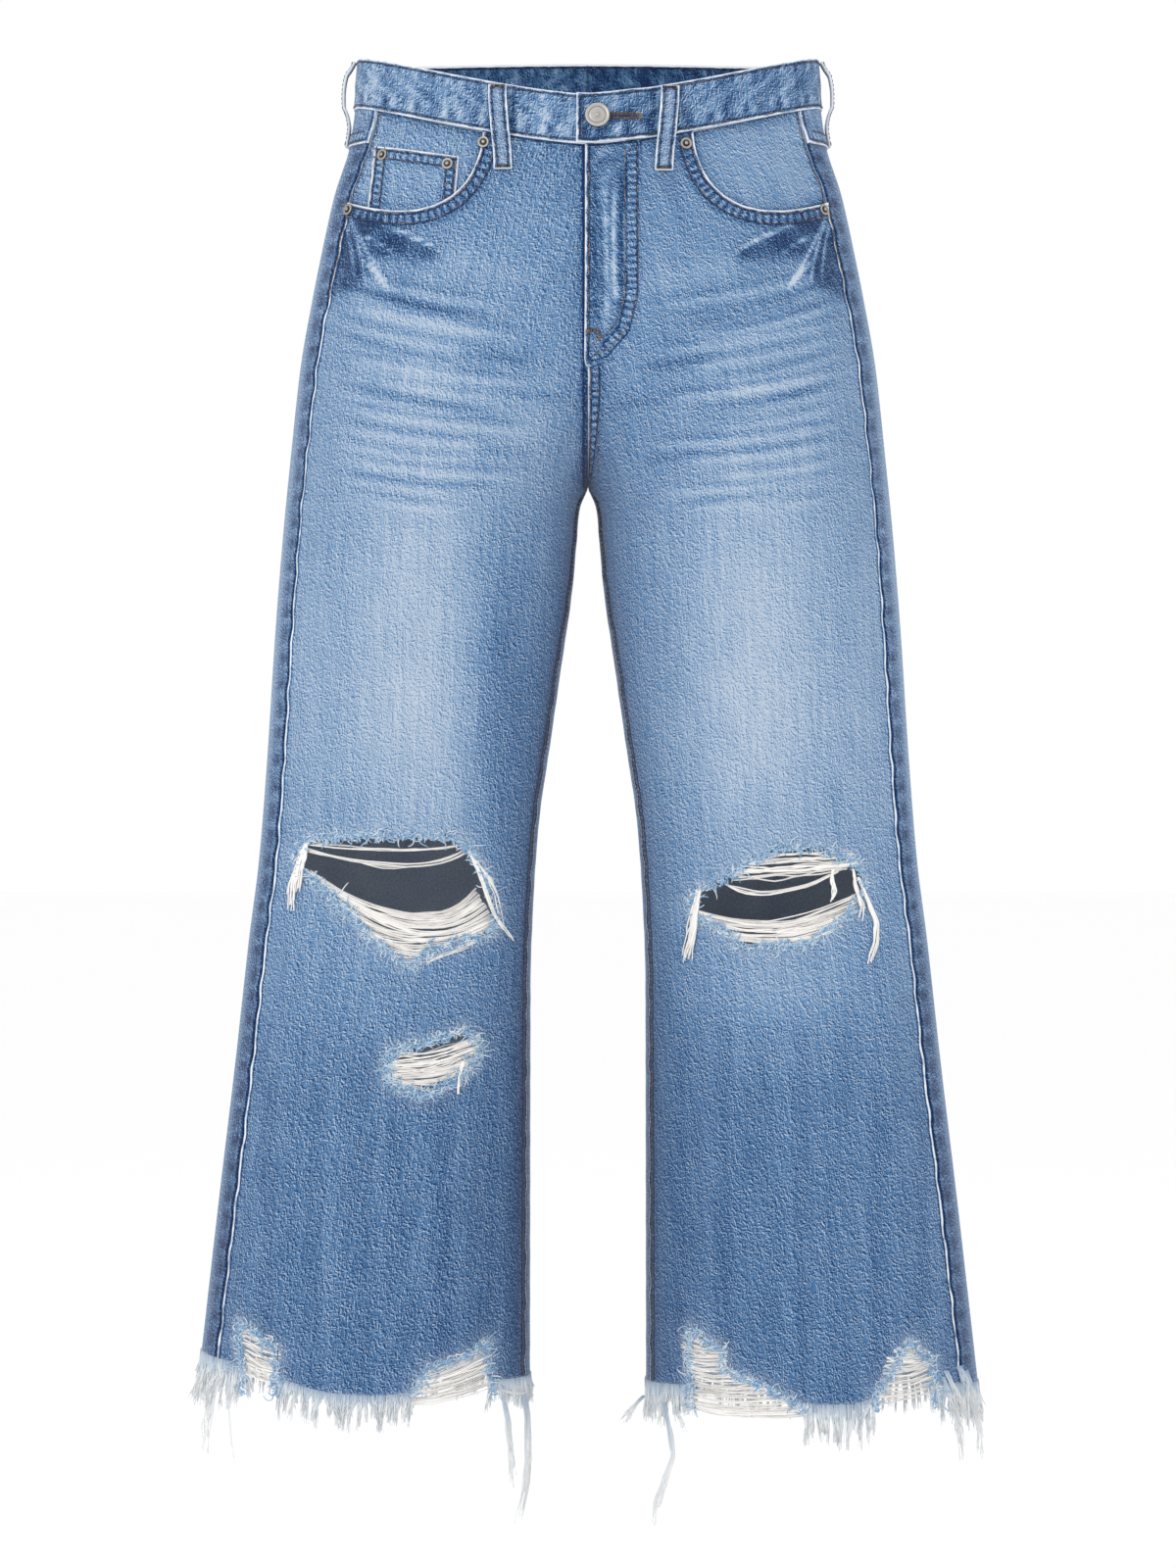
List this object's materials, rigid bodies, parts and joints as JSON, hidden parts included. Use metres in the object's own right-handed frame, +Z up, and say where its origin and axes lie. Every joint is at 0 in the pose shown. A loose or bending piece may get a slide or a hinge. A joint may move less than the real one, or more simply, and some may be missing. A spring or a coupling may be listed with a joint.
{
  "type": "ripped jeans",
  "caption": "High-waisted wide-leg denim jeans, filled out as worn but empty, with ripped knees, a torn shin and worn, fringed hems.",
  "frame": {"origin": "middle of the waist opening, level with the middle of the waistband at the side seams", "axes": "+Z up out of the waist, -Y towards the front, +X towards the wearer's left"},
  "size_m": [0.5611, 0.2243, 1.0521],
  "materials": {
    "denim": "washed mid-blue cotton twill, faded on the thighs",
    "denim_inside": "pale grey-blue back of the twill",
    "cotton_thread": "undyed cotton threads",
    "nickel": "dull silver plating",
    "copper": "dull antique copper plating"
  },
  "bodies": {
    "root": {"front_left": "denim", "front_right": "denim", "back_left": "denim", "back_right": "denim", "yoke_left": "denim", "yoke_right": "denim", "back_pocket_left": "denim", "back_pocket_right": "denim", "waistband_left": "denim", "waistband_right": "denim", "coin_pocket": "denim", "pocket_facing_left": "denim", "pocket_facing_right": "denim", "belt_loop_front_left": "denim", "belt_loop_front_right": "denim", "belt_loop_side_left": "denim", "belt_loop_side_right": "denim", "belt_loop_back": "denim", "fly_shield": "denim_inside", "zip": "nickel", "rivet_waist_left": "copper", "rivet_waist_right": "copper", "rivet_side_left": "copper", "rivet_side_right": "copper", "rivet_coin_inner": "copper", "rivet_coin_outer": "copper", "button": "nickel", "button_tack": "nickel", "hem_fringe_left": "cotton_thread", "hem_fringe_right": "cotton_thread", "threads_inseam_left": "cotton_thread", "threads_inseam_right": "cotton_thread", "threads_outseam_left": "cotton_thread", "threads_outseam_right": "cotton_thread"}
  },
  "joints": []
}
